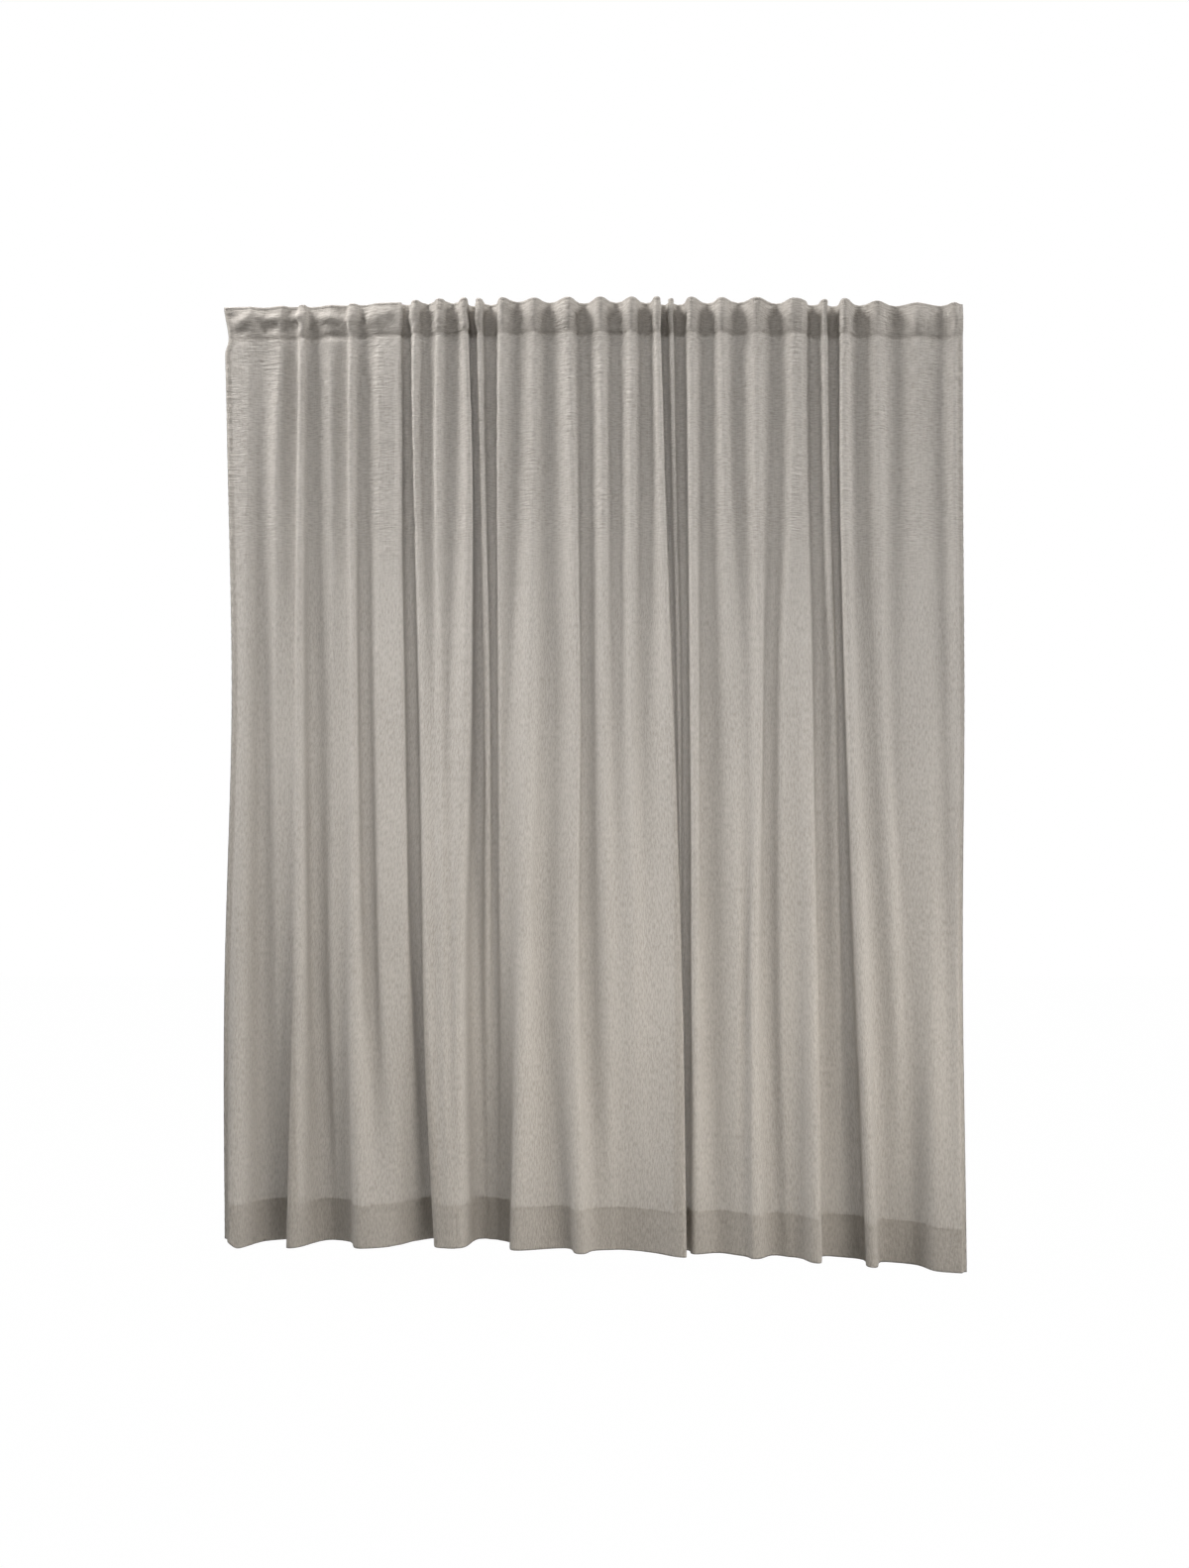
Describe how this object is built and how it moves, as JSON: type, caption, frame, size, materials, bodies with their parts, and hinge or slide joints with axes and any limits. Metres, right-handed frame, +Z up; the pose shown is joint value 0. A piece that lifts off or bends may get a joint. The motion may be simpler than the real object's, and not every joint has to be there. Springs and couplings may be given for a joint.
{
  "type": "sheer curtain",
  "caption": "Wide sheer voile curtain hanging in soft uneven folds, with a gathered heading band, a tape sewn behind its top edge and a turned hem.",
  "frame": {"origin": "middle of the curtain's top edge, where it is held", "axes": "+X to the right seen from the room, -Y towards the room, +Z up"},
  "size_m": [1.944, 0.1231, 2.5486],
  "materials": {
    "voile": "sheer greige linen-look voile with slubs in the yarn",
    "tape": "closely woven matt tape"
  },
  "bodies": {
    "root": {"curtain_panel": "voile", "heading_tape": "tape"}
  },
  "joints": []
}
